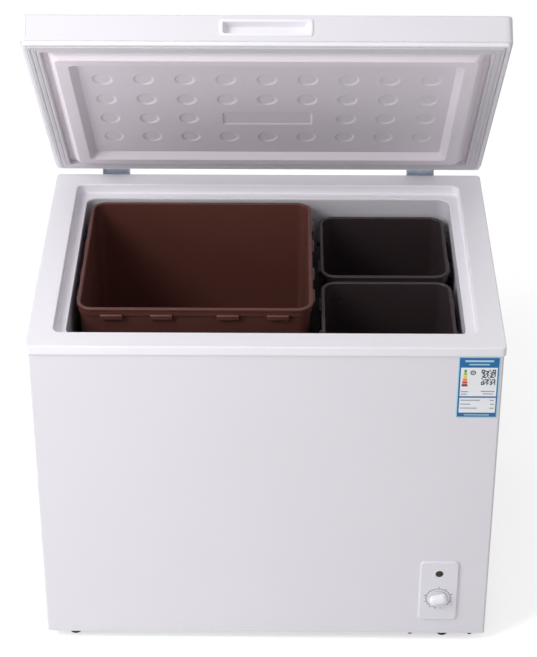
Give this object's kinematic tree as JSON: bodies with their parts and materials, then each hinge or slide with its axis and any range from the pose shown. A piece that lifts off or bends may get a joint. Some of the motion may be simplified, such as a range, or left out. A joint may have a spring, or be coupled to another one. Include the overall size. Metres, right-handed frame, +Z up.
{
  "type": "kimchi refrigerator",
  "caption": "Chest refrigerator for kimchi with a hinged lid, lift-out bins on two levels, a dial thermostat and a compressor under a step.",
  "frame": {"origin": "on the floor, under the middle of the outline with the lid standing open", "axes": "+X to the right seen from the front, +Y to the back, +Z up; the front faces -Y"},
  "size_m": [0.751, 0.5844, 1.0727],
  "materials": {
    "white_paint": "satin",
    "galvanised": "satin",
    "white_plastic": "satin",
    "liner_plastic": "satin",
    "foam": "matte",
    "copper": "satin",
    "tube_aluminium": "satin",
    "tube_steel": "satin",
    "black_paint": "satin",
    "motor_iron": "matte",
    "black_rubber": "matte",
    "grey_rubber": "matte",
    "bright_steel": "polished",
    "spring_steel": "satin",
    "brass_metal": "satin",
    "black_plastic": "matte",
    "brown_plastic": "satin",
    "dark_plastic": "satin",
    "lens_plastic": "gloss",
    "lamp_plastic": "gloss",
    "card_plastic": "gloss"
  },
  "bodies": {
    "cabinet": {"outer_wrap": "white_paint", "back_panel": "galvanised", "base_pan": "galvanised", "rim_frame": "white_plastic", "inner_liner": "liner_plastic", "cabinet_foam": "foam", "compartment_box": "galvanised", "evaporator_tube": "tube_aluminium", "condenser_tube": "tube_steel", "compressor_top": "black_paint", "compressor_base": "black_paint", "compressor_motor": "motor_iron", "compressor_rail": "galvanised", "compressor_grommets": "black_rubber", "compressor_bolts": "bright_steel", "relay_cover": "black_plastic", "filter_drier": "copper", "suction_pipe": "copper", "discharge_pipe": "copper", "capillary_tube": "copper", "thermostat": "white_plastic", "control_plate": "white_plastic", "indicator_lens": "lens_plastic", "indicator_lamp": "lamp_plastic", "information_card": "card_plastic", "cord_gland": "black_rubber", "rear_grille": "black_plastic", "grille_screws": "bright_steel", "back_panel_screws": "bright_steel", "base_screws": "black_paint", "feet": "black_plastic", "foot_screws": "bright_steel", "drain_tube": "liner_plastic", "hinge_bracket_left": "bright_steel", "hinge_bracket_right": "bright_steel", "hinge_pins": "spring_steel", "hinge_spring_left": "spring_steel", "hinge_spring_right": "spring_steel", "hinge_backing": "galvanised", "hinge_bracket_screws": "bright_steel"},
    "lid": {"lid_shell": "white_paint", "lid_liner": "white_plastic", "lid_foam": "foam", "lid_gasket": "grey_rubber", "lid_handle": "white_plastic", "lid_leaf_left": "bright_steel", "lid_leaf_right": "bright_steel", "lid_leaf_screws": "bright_steel", "lid_backing": "galvanised"},
    "dial": {"knob": "white_plastic", "thermostat_shaft": "brass_metal"},
    "bin_upper": {"bin_upper": "brown_plastic"},
    "bin_lower": {"bin_lower": "brown_plastic"},
    "bin_lower_lid": {"bin_lower_lid": "brown_plastic"},
    "bin_rear": {"bin_rear": "dark_plastic"},
    "bin_front": {"bin_front": "dark_plastic"},
    "drain_plug": {"drain_plug": "grey_rubber"},
    "drain_cap": {"drain_cap": "grey_rubber"}
  },
  "joints": [
    {"name": "lid_hinge", "type": "hinge", "parent": "cabinet", "child": "lid", "pos_m": [0, 0.27281, 0.63], "axis": [-1, 0, 0], "range_deg": [-50, 25], "deforming": ["hinge_spring_left", "hinge_spring_right"]},
    {"name": "dial_turn", "type": "hinge", "parent": "cabinet", "child": "dial", "pos_m": [0.2905, -0.27519, 0.1], "axis": [0, 1, 0], "range_deg": [-75, 205]},
    {"name": "bin_lower_lift", "type": "slide", "parent": "cabinet", "child": "bin_lower", "axis": [0, 0, 1], "range_m": [0, 0.05]},
    {"name": "bin_lower_lid_lift", "type": "slide", "parent": "bin_lower", "child": "bin_lower_lid", "axis": [0, 0, 1], "range_m": [0, 0.02]},
    {"name": "bin_upper_lift", "type": "slide", "parent": "bin_lower_lid", "child": "bin_upper", "axis": [0, 0, 1], "range_m": [0, 0.08]},
    {"name": "bin_rear_lift", "type": "slide", "parent": "cabinet", "child": "bin_rear", "axis": [0, 0, 1], "range_m": [0, 0.095]},
    {"name": "bin_front_lift", "type": "slide", "parent": "cabinet", "child": "bin_front", "axis": [0, 0, 1], "range_m": [0, 0.32]},
    {"name": "drain_plug_pull", "type": "slide", "parent": "cabinet", "child": "drain_plug", "axis": [0, 0, 1], "range_m": [0, 0.03]},
    {"name": "drain_cap_pull", "type": "slide", "parent": "cabinet", "child": "drain_cap", "axis": [0, 0, -1], "range_m": [0, 0.01]}
  ]
}
